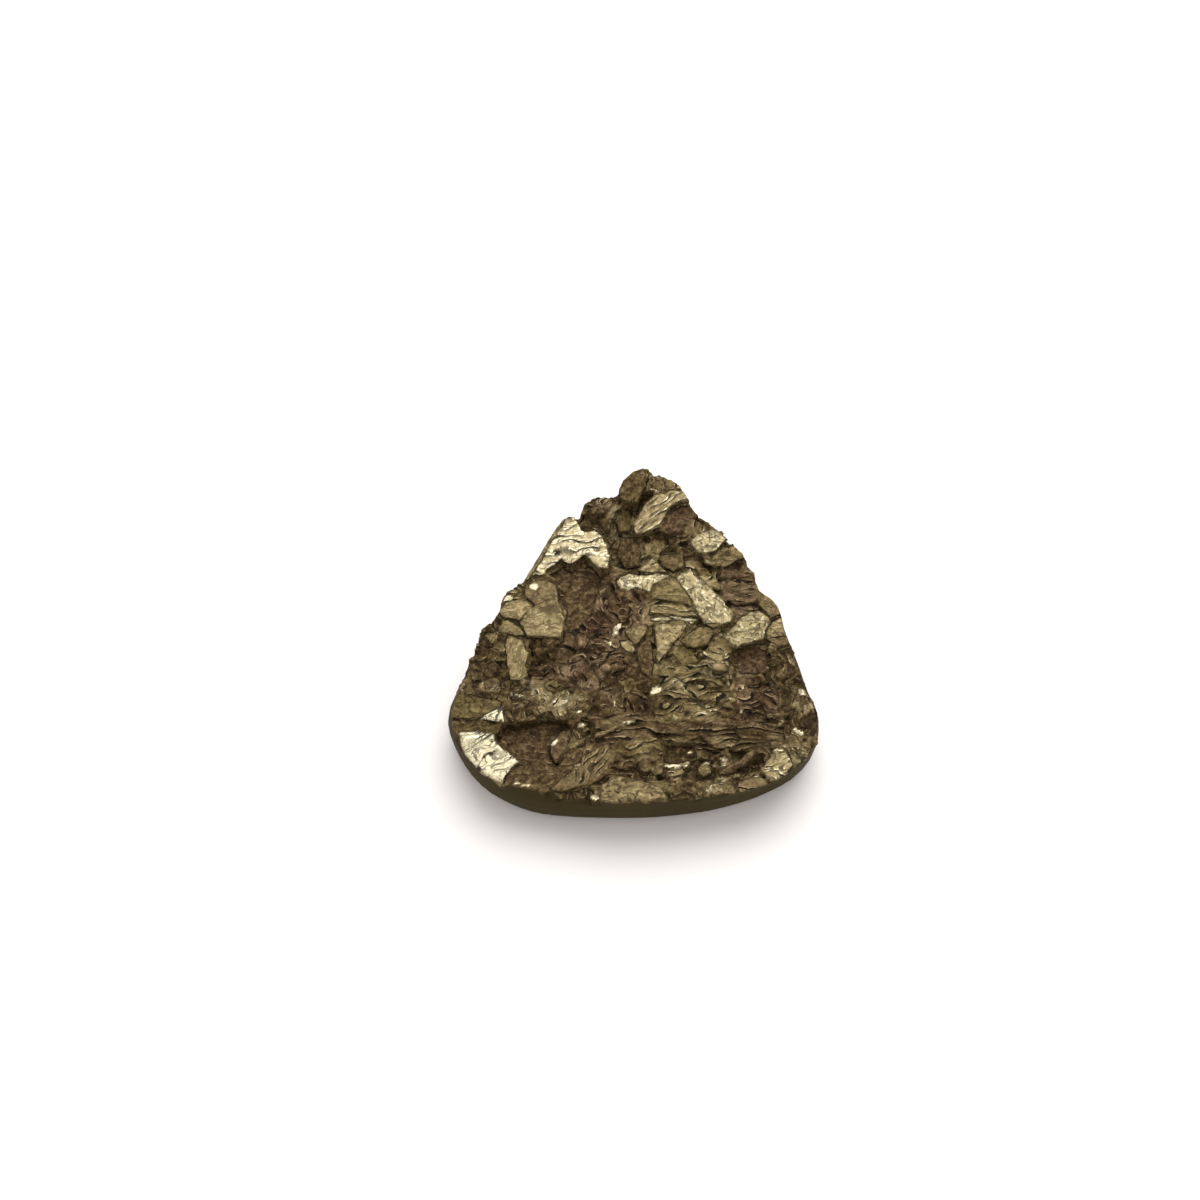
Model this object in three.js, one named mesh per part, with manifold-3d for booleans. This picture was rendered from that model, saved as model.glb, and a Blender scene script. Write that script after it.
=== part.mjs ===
// A rough piece of pyrite, ground smooth round its wall and flat below, with its natural crystal face on top.
// Millimetres, +Z up. +X is to the right and +Y away from whoever looks at it.
// The origin is the middle of the base.
import * as THREE from "three";
import { mergeVertices } from "three/addons/utils/BufferGeometryUtils.js";
import Module from "manifold-3d";

const wasm = await Module();
wasm.setup();

// Driving dimensions
const TOP_MIDDLE = 6.1; // mean height of the crystal face above the origin
const TOP_SLOPE = 0.085; // rise of the crystal face for each millimetre towards the back
const LIFT = 12; // how far the cutting shapes reach, above every crystal
const ROOT = 3.2; // how deep a crystal's foot goes into the stone

// The wall from the base up: height, how far it is set in, and how much of the crystals' ragged edge
// it shows.
const WALL = [
  { z: 0, inset: 1.05, ragged: 0 },
  { z: 0.25, inset: 0.72, ragged: 0 },
  { z: 0.8, inset: 0.4, ragged: 0 },
  { z: 1.7, inset: 0.16, ragged: 0 },
  { z: 2.8, inset: 0.02, ragged: 0 },
  { z: 3.8, inset: 0, ragged: 0.15 },
  { z: 4.7, inset: 0, ragged: 0.6 },
  { z: 5.8, inset: 0, ragged: 1 },
  { z: LIFT, inset: 0.9, ragged: 1 },
];
const WALL_POINTS = 112; // points round the wall

// The ground wall seen from above, at its widest
const GIRDLE = [
  [0.6, 14.0], [3.4, 12.9], [5.7, 10.6], [8.5, 7.8], [10.4, 4.9], [12.1, 2.1], [13.1, -0.6], [14.0, -3.5],
  [14.85, -6.0], [14.5, -8.5], [13.0, -10.4], [10.6, -11.8], [8.4, -12.65], [5.4, -13.4], [0.5, -13.9],
  [-6.0, -13.7], [-9.4, -12.9], [-12.4, -11.0], [-14.2, -8.3], [-14.85, -5.8], [-13.9, -3.2],
  [-12.4, -0.4], [-10.7, 3.2], [-8.5, 6.3], [-6.0, 9.6], [-3.3, 12.1],
];
// The ragged edge of the crystals above it
const EDGE = [
  [0.9, 14.45], [1.8, 14.25], [2.9, 13.6], [3.9, 12.9], [4.5, 12.0], [5.1, 10.9], [6.1, 10.2], [7.0, 9.3],
  [8.0, 8.1], [8.9, 7.3], [9.4, 6.3], [9.9, 5.1], [10.1, 4.0], [10.9, 3.6], [11.6, 2.8], [12.0, 1.6],
  [12.1, 0.4], [12.7, -0.9], [13.1, -2.2], [13.3, -3.7], [14.0, -4.8], [14.4, -5.9], [14.6, -7.3],
  [14.45, -8.9], [13.75, -10.2], [12.9, -11.1], [11.7, -12.0], [10.8, -12.6], [8.4, -13.2], [5.6, -13.55],
  [3.0, -13.75], [0.5, -13.85], [-1.5, -13.9], [-2.7, -13.9], [-3.7, -13.7], [-4.6, -13.2], [-5.6, -12.8],
  [-8.0, -12.5], [-10.0, -12.3], [-10.9, -12.1], [-11.8, -11.5], [-12.7, -10.6], [-13.4, -9.5],
  [-13.9, -8.4], [-14.3, -7.2], [-14.4, -6.4], [-14.1, -5.2], [-13.6, -3.9], [-13.2, -2.4], [-12.6, -1.2],
  [-12.3, 0.3], [-11.8, 1.3], [-10.8, 2.1], [-10.5, 3.4], [-10.0, 4.1], [-9.1, 4.5], [-8.5, 5.6],
  [-7.6, 7.2], [-6.8, 8.7], [-5.9, 10.1], [-5.3, 10.6], [-4.4, 10.5], [-4.0, 11.5], [-3.2, 12.2],
  [-1.7, 12.3], [-1.0, 13.1], [-0.2, 14.0],
];

// The main crystal faces. Each has its outline from above, the height of its middle over the mean crystal
// face, and how fast it climbs to the right (right) and to the back (back).
const FACES = [
  // back left: the large brow face, with its torn lower edge
  { rise: 0.25, right: 0.18, back: 0.02, outline: [[-9.2, 4.6], [-8.1, 6.1], [-7.5, 7.2], [-6.9, 8.4],
    [-6.2, 9.6], [-5.6, 10.4], [-4.7, 10.3], [-4.15, 9.1], [-3.7, 8.85], [-3.05, 9.0], [-2.5, 8.35],
    [-2.1, 7.4], [-1.85, 6.5], [-2.0, 5.5], [-2.7, 5.4], [-3.35, 6.15], [-3.95, 6.9], [-4.4, 6.5],
    [-4.9, 5.95], [-5.4, 6.15], [-5.7, 6.6], [-6.3, 6.1], [-6.9, 5.8], [-7.1, 5.4], [-7.9, 5.3]] },
  // left flank: three faces that meet, and the long strip below them
  { rise: -0.1, right: 0.12, back: -0.05, outline: [[-10.9, 2.2], [-10.2, 3.1], [-8.7, 3.4], [-8.1, 2.6],
    [-8.6, 1.9], [-9.2, 1.3], [-10.3, 1.7]] },
  { rise: 0.3, right: 0.06, back: 0.12, outline: [[-8.7, 3.4], [-8.8, 4.4], [-7.9, 4.6], [-6.9, 4.7],
    [-6.2, 4.3], [-6.0, 3.0], [-5.6, 1.9], [-7.0, 1.85], [-7.9, 2.65]] },
  { rise: 0.2, right: 0.1, back: 0.08, outline: [[-8.4, 2.1], [-7.9, 2.65], [-7.0, 1.9], [-5.6, 1.9],
    [-5.45, 1.4], [-5.6, 0.6], [-5.7, -0.2], [-8.5, 0.0], [-9.2, 1.2]] },
  { rise: -0.15, right: 0.12, back: 0.06, outline: [[-10.5, 1.7], [-9.3, 1.1], [-8.7, 0.2], [-9.4, 0.1],
    [-10.6, 0.5]] },
  { rise: -0.05, right: 0.1, back: 0.02, outline: [[-10.1, 0.2], [-8.9, -0.1], [-8.6, -1.0], [-8.3, -1.4],
    [-8.6, -2.4], [-8.4, -3.4], [-9.0, -3.7], [-9.9, -3.7], [-10.1, -2.2], [-10.3, -0.6]] },
  // left corner: olive shelf, small triangle, dark strip and the bright corner face
  { rise: -0.35, right: 0.1, back: 0.07, outline: [[-15.0, -5.4], [-13.9, -4.8], [-12.9, -4.9],
    [-11.7, -5.0], [-10.5, -5.5], [-10.4, -6.1], [-11.0, -6.1], [-12.0, -6.7], [-15.0, -6.7]] },
  { rise: 0.05, right: 0.18, back: 0.02, outline: [[-12.1, -6.85], [-11.0, -6.1], [-10.4, -6.0],
    [-10.25, -7.4], [-10.9, -7.3]] },
  { rise: -0.55, right: 0.06, back: 0.18, outline: [[-15.0, -7.0], [-12.2, -6.9], [-10.9, -7.2],
    [-10.4, -7.2], [-10.5, -8.2], [-15.0, -8.2]] },
  { rise: -0.15, right: 0.18, back: 0.03, outline: [[-13.7, -7.9], [-12.2, -7.9], [-11.1, -8.2],
    [-10.9, -8.9], [-10.0, -9.7], [-9.15, -10.6], [-9.9, -11.5], [-10.3, -12.2], [-10.9, -12.3],
    [-11.7, -11.9], [-12.6, -10.9], [-13.1, -9.8], [-13.5, -8.9]] },
  // a lump in the left hollow, and thin blades beside it
  { rise: -0.75, right: 0.06, back: 0.05, outline: [[-6.7, -8.8], [-5.8, -7.6], [-4.9, -7.5],
    [-4.6, -8.6], [-5.2, -9.6], [-6.2, -10.4], [-6.6, -9.6]] },
  { rise: 0.1, right: 0.09, back: -0.06, outline: [[-5.6, -9.6], [-5.2, -9.15], [-4.3, -8.65],
    [-3.8, -8.5], [-4.0, -9.0], [-4.9, -9.55]] },
  { rise: 0.15, right: 0.09, back: -0.06, outline: [[-3.2, -8.55], [-3.0, -8.15], [-1.9, -7.8],
    [-1.3, -7.45], [-1.5, -8.0], [-2.6, -8.5]] },
  { rise: -0.1, right: 0.12, back: 0, outline: [[-10.3, -6.3], [-9.9, -6.2], [-9.2, -7.3],
    [-9.5, -7.5]] },
  // front: the smooth ledge, the combed slope beside it and the pale patches along the edge
  { rise: -0.1, right: 0.04, back: 0.1, outline: [[-9.1, -10.75], [-6.0, -10.9], [-5.2, -9.6],
    [-3.8, -9.2], [-4.2, -10.4], [-5.4, -11.8], [-7.0, -13.1], [-10.6, -13.0], [-10.3, -12.1],
    [-9.9, -11.5]] },
  { rise: 0.1, right: -0.07, back: 0.13, outline: [[-3.7, -9.2], [-1.9, -9.0], [-1.4, -9.9],
    [-1.9, -11.2], [-3.3, -12.3], [-5.6, -13.0], [-6.6, -12.9], [-5.3, -11.7], [-4.1, -10.4]] },
  { rise: 0.15, right: 0.08, back: 0.06, outline: [[-2.6, -12.4], [-2.0, -11.9], [-0.9, -11.7],
    [0.2, -12.1], [1.2, -12.4], [2.2, -12.8], [3.0, -14.6], [-2.5, -14.6]] },
  { rise: -0.15, right: 0.15, back: 0.05, outline: [[-4.7, -13.9], [-4.5, -13.1], [-3.3, -12.5],
    [-2.8, -12.6], [-2.8, -14.4]] },
  { rise: 0.0, right: -0.06, back: 0.12, outline: [[3.2, -12.1], [5.1, -12.2], [7.9, -12.1], [8.0, -13.6],
    [3.4, -14.2], [2.7, -13.1]] },
  { rise: -0.1, right: 0.11, back: 0.06, outline: [[8.2, -12.1], [9.9, -11.5], [10.5, -12.1],
    [10.8, -13.0], [8.3, -13.6]] },
  // right corner: the yellow face and the flank behind it
  { rise: -0.05, right: 0.16, back: 0, outline: [[10.0, -11.1], [10.8, -10.2], [11.1, -9.3], [11.8, -9.3],
    [12.4, -10.2], [12.9, -10.8], [11.7, -12.0], [10.8, -12.2]] },
  { rise: -0.25, right: -0.18, back: 0.05, outline: [[12.1, -7.3], [13.1, -6.0], [13.0, -4.9],
    [15.0, -4.5], [15.0, -8.0], [14.0, -8.4], [12.2, -8.7]] },
  { rise: 0.05, right: -0.12, back: 0.06, outline: [[10.9, -4.1], [12.6, -4.4], [13.0, -5.0],
    [12.9, -6.0], [11.9, -7.2], [10.6, -6.9], [10.1, -5.6]] },
  // middle: pale faces round the long slab
  { rise: 0.2, right: 0.14, back: 0.06, outline: [[-1.4, 4.7], [-1.0, 5.2], [-0.3, 5.45], [0.3, 5.2],
    [1.7, 5.2], [3.1, 5.05], [2.3, 4.6], [1.6, 4.2], [1.3, 3.7], [0.8, 3.9], [0.3, 4.2], [-0.4, 4.0],
    [-1.0, 4.1]] },
  { rise: 0.3, right: 0.05, back: -0.18, outline: [[0.3, 5.5], [1.2, 6.15], [2.1, 6.2], [2.8, 5.3],
    [1.4, 5.3]] },
  { rise: 0.25, right: 0.07, back: 0.08, outline: [[1.5, 3.2], [1.6, 4.1], [2.1, 4.5], [2.8, 4.9],
    [3.5, 4.9], [4.1, 3.9], [4.8, 2.4], [3.6, 2.8], [2.4, 3.0]] },
  { rise: 0.05, right: 0.08, back: 0.12, outline: [[1.3, 2.0], [1.4, 2.7], [2.4, 2.9], [3.6, 2.7],
    [4.8, 2.3], [5.2, 1.6], [3.6, 1.7], [2.4, 1.9]] },
  { rise: -0.15, right: 0.08, back: 0.12, outline: [[1.4, 1.5], [1.4, 1.8], [2.4, 1.8], [5.3, 1.5],
    [4.7, 1.0], [4.0, 1.4], [2.6, 1.45]] },
  { rise: 0.2, right: 0.13, back: 0.06, outline: [[1.6, 1.0], [3.0, 1.15], [4.4, 0.9], [4.0, 0.2],
    [3.3, -0.6], [2.7, -1.5], [2.0, -2.25], [1.8, -2.1], [1.85, -0.8]] },
  { rise: 0.35, right: 0.12, back: 0.06, outline: [[3.4, 5.1], [4.6, 5.95], [5.0, 5.2], [5.9, 4.3],
    [6.7, 3.5], [7.3, 2.8], [8.0, 2.05], [8.1, 1.4], [7.8, 1.0], [6.9, 0.7], [6.4, 0.5], [5.8, 0.8],
    [5.2, 1.8], [4.6, 3.2], [4.1, 4.1]] },
  { rise: 0.15, right: 0.04, back: 0, outline: [[3.8, -0.4], [4.5, 0.3], [5.3, 0.9], [6.9, 0.95],
    [7.1, 0.4], [6.3, 0.0], [6.0, -0.7], [5.0, -1.0], [4.2, -0.9]] },
  { rise: 0.0, right: 0.1, back: -0.06, outline: [[-0.7, 0.5], [0.0, 0.95], [1.2, 0.9], [1.0, 0.1],
    [0.1, -0.75], [-0.3, -0.2]] },
  { rise: -0.25, right: 0.2, back: 0.06, outline: [[-1.1, -0.2], [-0.4, -0.1], [0.2, -0.95], [0.0, -1.4],
    [-0.6, -1.1], [-1.0, -0.8]] },
  { rise: -0.15, right: -0.07, back: 0.12, outline: [[0.3, -1.0], [1.0, -0.1], [1.45, -0.3], [1.7, -2.0],
    [1.4, -3.4], [0.6, -2.9], [0.3, -1.9]] },
  // right flank: pale face with the dull one behind it
  { rise: 0.2, right: 0.16, back: 0.08, outline: [[7.1, 0.25], [8.1, 1.0], [8.6, 1.6], [9.3, 2.0],
    [10.1, 2.1], [10.8, 1.6], [11.0, 1.0], [10.6, 0.4], [10.5, -0.3], [10.0, -0.45], [8.2, -0.9],
    [7.6, -0.4]] },
  { rise: 0.1, right: -0.05, back: 0.06, outline: [[11.1, 1.2], [12.8, 2.2], [12.9, 0.2], [11.3, -0.1],
    [10.7, -0.3], [10.7, 0.4]] },
  { rise: 0.0, right: -0.15, back: -0.15, outline: [[10.0, 4.2], [11.2, 4.2], [12.5, 2.4], [11.1, 1.4],
    [10.6, 2.0], [10.1, 2.8]] },
  { rise: -0.1, right: -0.06, back: 0.13, outline: [[11.1, -0.2], [12.9, 0.2], [13.9, -2.5], [12.2, -2.9],
    [11.2, -2.6], [10.8, -1.2]] },
  // long thin ridges behind the right flank
  { rise: 0.1, right: 0.0, back: 0.3, outline: [[7.1, 3.2], [8.3, 2.7], [9.9, 2.9], [10.0, 3.4],
    [8.6, 3.4], [7.3, 3.9]] },
  { rise: 0.2, right: 0.05, back: 0.3, outline: [[7.3, 4.1], [8.7, 3.6], [10.1, 3.7], [10.2, 4.2],
    [8.8, 4.4], [7.6, 4.8]] },
  { rise: 0.15, right: 0.0, back: 0.3, outline: [[6.9, 5.0], [8.2, 4.9], [9.8, 4.6], [9.7, 5.2],
    [8.4, 5.6], [7.2, 5.7]] },
  // back: the peak, the gilt face beside it and the brown one in front
  { rise: 1.1, right: -0.06, back: 0.08, outline: [[-1.1, 12.2], [-0.5, 13.6], [0.2, 15.0], [1.2, 15.0],
    [1.4, 13.5], [0.9, 12.4], [0.4, 11.1], [-0.1, 10.9], [-0.9, 11.1]] },
  { rise: 0.65, right: -0.15, back: 0, outline: [[1.3, 15.0], [2.9, 14.4], [4.8, 12.6], [3.2, 12.4],
    [2.1, 12.3], [1.0, 12.1], [1.5, 13.2]] },
  { rise: 0.6, right: 0.12, back: 0.07, outline: [[0.0, 9.5], [0.4, 10.2], [0.9, 11.2], [1.7, 12.0],
    [3.0, 12.3], [4.6, 12.3], [4.8, 11.4], [3.7, 11.2], [3.1, 10.8], [2.6, 9.9], [2.0, 9.1], [1.2, 8.8],
    [0.1, 8.6]] },
  { rise: 0.15, right: -0.17, back: 0.06, outline: [[2.7, 9.8], [3.2, 10.7], [3.8, 11.1], [4.9, 11.4],
    [5.4, 10.5], [4.4, 9.9], [4.0, 9.0], [2.9, 8.7], [2.2, 9.0]] },
  { rise: 0.3, right: 0.18, back: 0, outline: [[4.6, 8.1], [5.1, 8.7], [6.2, 9.1], [7.0, 8.9], [7.5, 8.2],
    [7.2, 7.8], [6.9, 7.3], [6.6, 7.0], [5.8, 6.9], [5.2, 7.2], [4.9, 7.6]] },
  { rise: 0.1, right: -0.05, back: 0.15, outline: [[5.4, 7.0], [6.5, 7.1], [7.3, 7.6], [9.0, 8.0],
    [9.0, 6.9], [7.7, 6.0], [6.4, 5.9], [5.8, 6.3]] },
  { rise: 0.1, right: 0.06, back: 0.18, outline: [[2.0, 6.8], [3.3, 7.05], [4.1, 7.0], [4.1, 6.0],
    [3.2, 5.6], [2.5, 6.0]] },
  { rise: 0.2, right: -0.18, back: -0.12, outline: [[5.1, 6.0], [5.8, 5.9], [7.1, 4.4], [7.0, 3.9],
    [6.3, 4.1], [5.4, 5.0]] },
  { rise: 0.1, right: -0.06, back: -0.09, outline: [[-4.6, 11.6], [-3.6, 12.6], [-1.7, 12.6],
    [-1.5, 11.5], [-2.2, 10.6], [-4.2, 10.4]] },
  // the dark recess under the peak: blunt lobes that stand in it
  { rise: -0.5, right: 0.18, back: 0.06, outline: [[-1.2, 9.3], [-1.45, 10.5], [-0.9, 11.2], [-0.1, 10.9],
    [-0.2, 9.3]] },
  { rise: -0.8, right: 0.15, back: 0.07, outline: [[-1.1, 9.1], [-0.1, 8.9], [0.6, 8.2], [0.5, 6.4],
    [-0.6, 6.2], [-1.3, 7.3]] },
  { rise: -0.55, right: -0.12, back: 0.18, outline: [[0.8, 8.2], [1.8, 8.7], [2.5, 8.6], [2.7, 7.9],
    [2.0, 7.2], [0.9, 7.0]] },
  // lower right: shelves that overlap like shingles, long and low
  { rise: 0.1, right: 0.0, back: 0.25, outline: [[1.7, -4.9], [3.9, -4.4], [6.4, -4.9], [8.6, -5.6],
    [8.4, -6.9], [4.6, -6.95], [1.8, -6.7]] },
  { rise: -0.05, right: 0.03, back: 0.3, outline: [[-3.2, -7.3], [-0.2, -6.7], [3.8, -7.0], [6.6, -7.1],
    [6.9, -8.2], [2.0, -8.1], [-1.6, -7.9], [-3.0, -8.4]] },
  { rise: 0.15, right: -0.04, back: 0.25, outline: [[6.8, -7.2], [9.8, -7.5], [11.4, -7.6], [11.5, -9.0],
    [9.6, -9.7], [6.4, -9.4], [5.2, -8.4]] },
  { rise: 0.0, right: 0.08, back: 0.2, outline: [[-1.3, -8.6], [1.0, -8.3], [2.2, -8.9], [2.3, -10.2],
    [0.4, -10.9], [-1.4, -11.0]] },
  { rise: 0.2, right: 0.1, back: 0.0, outline: [[0.4, -11.0], [0.7, -10.65], [1.1, -10.6], [1.45, -10.9],
    [1.35, -11.3], [0.9, -11.5], [0.5, -11.35]] },
  { rise: 0.15, right: -0.1, back: 0.1, outline: [[1.55, -11.0], [1.9, -10.8], [2.35, -11.1],
    [2.25, -11.6], [1.8, -11.8], [1.5, -11.5]] },
  { rise: 0.3, right: 0.05, back: 0.1, outline: [[4.95, -11.2], [5.25, -10.8], [5.8, -10.75],
    [6.15, -11.1], [6.05, -11.6], [5.5, -11.85], [5.1, -11.6]] },
  { rise: 0.2, right: 0.1, back: 0.35, outline: [[6.6, -11.3], [7.1, -11.1], [8.4, -10.4], [9.5, -9.7],
    [9.8, -9.9], [9.0, -10.7], [7.8, -11.4], [6.8, -11.6]] },
  // middle right: lumps of leathery, olive brown rock
  { rise: 0.1, right: 0.1, back: 0.05, outline: [[2.2, -2.3], [3.6, -1.2], [5.0, -1.3], [6.0, -1.7],
    [5.8, -2.9], [4.0, -3.3], [2.2, -3.1]] },
  { rise: 0.2, right: -0.1, back: 0.1, outline: [[6.1, -1.1], [7.2, -0.7], [7.7, -1.4], [7.6, -3.0],
    [6.0, -2.9]] },
  { rise: 0.0, right: 0.12, back: 0.2, outline: [[3.0, -3.6], [5.0, -3.4], [7.4, -3.5], [7.2, -4.3],
    [4.8, -4.5], [3.4, -4.3]] },
];

// Hollows, cut down to a flat floor: outline, and the floor's height and slopes as above
const HOLLOWS = [
  { rise: -1.3, right: -0.08, back: 0.1, outline: [[-10.3, -7.3], [-8.2, -7.1], [-6.8, -6.8],
    [-5.2, -7.0], [-4.9, -8.0], [-5.2, -9.3], [-6.0, -10.7], [-8.5, -10.65], [-9.1, -10.4], [-10.8, -8.8],
    [-10.8, -8.2]] },
  { rise: -0.8, right: 0.0, back: 0.06, outline: [[-6.8, 5.3], [-5.7, 6.2], [-5.0, 5.9], [-4.0, 6.9],
    [-3.0, 5.7], [-2.3, 5.3], [-2.9, 3.8], [-3.3, 2.2], [-4.2, 1.2], [-5.3, 1.0], [-5.3, 2.4],
    [-5.8, 4.4]] },
  { rise: -1.1, right: 0.12, back: 0.1, outline: [[-1.9, 9.9], [-1.2, 11.0], [-0.5, 10.8], [-0.2, 9.2],
    [0.3, 8.7], [2.3, 8.7], [2.4, 7.7], [1.1, 6.4], [0.1, 5.8], [-0.9, 5.7], [-1.4, 6.4], [-1.6, 7.6]] },
  { rise: -0.7, right: 0.1, back: -0.1, outline: [[8.0, -1.0], [9.9, -0.6], [10.6, -0.9], [10.7, -2.3],
    [10.2, -2.9], [8.6, -2.9], [8.0, -2.2]] },
  { rise: -0.8, right: 0.0, back: 0.1, outline: [[2.5, -9.0], [4.7, -9.0], [4.9, -10.2], [2.6, -10.4]] },
  { rise: -0.7, right: 0.1, back: 0.0, outline: [[8.9, -10.9], [10.1, -10.1], [10.4, -9.9],
    [9.9, -11.1]] },
];

// The rough rock between the faces: a sheet of flat-sided lumps with small crystals scattered over it
const ROCK = { sink: 0.32, lump: 0.34, spacing: 1.35 };
const GRAINS = { count: 110, smallest: 0.9, largest: 2.2, thickness: 0.8, stand: 0.2, clear: 0.25 };

// A row of numbers from 0 to 1 that looks random and is the same every time
function numberRow(seed) {
  let state = seed;
  return () => {
    state = (Math.imul(state, 1664525) + 1013904223) >>> 0;
    return state / 4294967296;
  };
}

const meanTop = (x, y) => TOP_MIDDLE + TOP_SLOPE * y;

function solidFrom(geometry) {
  geometry.deleteAttribute("normal");
  geometry.deleteAttribute("uv");
  const merged = mergeVertices(geometry, 1e-4);
  return new wasm.Manifold(
    new wasm.Mesh({
      numProp: 3,
      vertProperties: merged.getAttribute("position").array,
      triVerts: new Uint32Array(merged.index.array),
    }),
  );
}

// Moves every point of a geometry to where place(point) puts it.
function reshape(geometry, place) {
  const position = geometry.getAttribute("position");
  const point = new THREE.Vector3();
  for (let i = 0; i < position.count; i++) {
    place(point.fromBufferAttribute(position, i));
    position.setXYZ(i, point.x, point.y, point.z);
  }
  return geometry;
}

// A closed outline as its distance from the origin at an angle, read off a smooth curve through its points.
function reachOf(outline, tension) {
  const through = outline.map(([x, y]) => new THREE.Vector3(x, y, 0));
  const curve = new THREE.CatmullRomCurve3(through, true, "catmullrom", tension);
  const points = curve.getPoints(outline.length * 12);
  const samples = points.map((p) => ({ angle: Math.atan2(p.y, p.x), reach: p.length() }));
  samples.sort((a, b) => a.angle - b.angle);
  const first = samples[0];
  const last = samples[samples.length - 1];
  samples.unshift({ angle: last.angle - 2 * Math.PI, reach: last.reach });
  samples.push({ angle: first.angle + 2 * Math.PI, reach: first.reach });
  return (angle) => {
    const after = samples.findIndex((s) => s.angle > angle);
    const a = samples[after - 1];
    const b = samples[after];
    return THREE.MathUtils.lerp(a.reach, b.reach, (angle - a.angle) / (b.angle - a.angle));
  };
}

// The ground wall, carried on upwards to cut the crystals off at their ragged edge
function wallSolid() {
  const girdle = reachOf(GIRDLE, 0.5);
  const edge = reachOf(EDGE, 0.3);
  const ring = new THREE.Shape();
  for (let i = 0; i < WALL_POINTS; i++) {
    const angle = (i / WALL_POINTS) * 2 * Math.PI;
    ring.lineTo(Math.cos(angle), Math.sin(angle));
  }
  const steps = WALL.length - 1;
  const stack = new THREE.ExtrudeGeometry(ring, { depth: steps, steps, bevelEnabled: false });
  return solidFrom(
    reshape(stack, (p) => {
      const level = WALL[Math.round(p.z)];
      const angle = Math.atan2(p.y, p.x);
      const reach = THREE.MathUtils.lerp(girdle(angle), edge(angle), level.ragged) - level.inset;
      p.set(reach * Math.cos(angle), reach * Math.sin(angle), level.z);
    }),
  );
}

function middleOf(outline) {
  const sum = outline.reduce(([sx, sy], [x, y]) => [sx + x, sy + y], [0, 0]);
  return [sum[0] / outline.length, sum[1] / outline.length];
}

// The flat face of a crystal or hollow as a height over the plan, and the way it looks
function planeOf({ outline, rise, right, back }) {
  const [cx, cy] = middleOf(outline);
  const height = (x, y) => meanTop(cx, cy) + rise + right * (x - cx) + back * (y - cy);
  return { height, normal: new THREE.Vector3(-right, -back, 1).normalize() };
}

function shapeOf(outline) {
  return new THREE.Shape(outline.map(([x, y]) => new THREE.Vector2(x, y)));
}

// A crystal: its outline on its own tilted face, going straight down from it into the stone
function crystalSolid(face) {
  const { height, normal } = planeOf(face);
  const block = new THREE.ExtrudeGeometry(shapeOf(face.outline), { depth: ROOT, bevelEnabled: false });
  return solidFrom(
    reshape(block, (p) => {
      const down = p.z - ROOT;
      p.set(p.x + normal.x * down, p.y + normal.y * down, height(p.x, p.y) + normal.z * down);
    }),
  );
}

// The space above a hollow's floor
function hollowSolid(hollow) {
  const { height } = planeOf(hollow);
  const space = new THREE.ExtrudeGeometry(shapeOf(hollow.outline), { depth: 1, bevelEnabled: false });
  return solidFrom(
    reshape(space, (p) => {
      p.z = p.z > 0.5 ? LIFT : height(p.x, p.y);
    }),
  );
}

// Whether a point is inside an outline or within a margin of its corners
function covers(outline, x, y, margin) {
  let inside = false;
  outline.forEach(([ax, ay], i) => {
    const [bx, by] = outline[(i + 1) % outline.length];
    if (ay > y !== by > y && x < ((bx - ax) * (y - ay)) / (by - ay) + ax) inside = !inside;
  });
  return inside || outline.some(([ax, ay]) => Math.hypot(ax - x, ay - y) < margin);
}

// The rock under and between the crystals, with its top drawn up into flat-sided lumps
function rockSolid() {
  const next = numberRow(7);
  const across = 34;
  const cells = Math.round(across / ROCK.spacing);
  const block = new THREE.BoxGeometry(across, across, 2, cells, cells, 1);
  block.deleteAttribute("normal");
  block.deleteAttribute("uv");
  const sheet = mergeVertices(block, 1e-4);
  return solidFrom(
    reshape(sheet, (p) => {
      if (p.z < 0) {
        p.z = -1;
        return;
      }
      const edge = across / 2 - ROCK.spacing / 2;
      if (Math.abs(p.x) < edge && Math.abs(p.y) < edge) {
        p.x += (next() - 0.5) * ROCK.spacing * 0.7;
        p.y += (next() - 0.5) * ROCK.spacing * 0.7;
      }
      p.z = meanTop(p.x, p.y) - ROCK.sink + (next() * 2 - 1) * ROCK.lump;
    }),
  );
}

// Small flat crystals, tilted every way, standing a little out of the rock wherever no main face is
function grainSolids() {
  const next = numberRow(41);
  const grains = [];
  while (grains.length < GRAINS.count) {
    const x = (next() * 2 - 1) * 14;
    const y = (next() * 2 - 1) * 14;
    const size = THREE.MathUtils.lerp(GRAINS.smallest, GRAINS.largest, next() ** 2);
    const turn = new THREE.Euler(next() * 0.9 - 0.45, next() * 0.9 - 0.45, next() * Math.PI);
    const clear = size / 2 + GRAINS.clear;
    if ([...FACES, ...HOLLOWS].some((f) => covers(f.outline, x, y, clear))) continue;
    const grain = new THREE.BoxGeometry(size, size * (0.5 + 0.7 * next()), GRAINS.thickness);
    grain.applyMatrix4(new THREE.Matrix4().makeRotationFromEuler(turn));
    grain.translate(x, y, meanTop(x, y) - ROCK.sink + GRAINS.stand - GRAINS.thickness / 2);
    grains.push(solidFrom(grain));
  }
  return grains;
}

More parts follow.
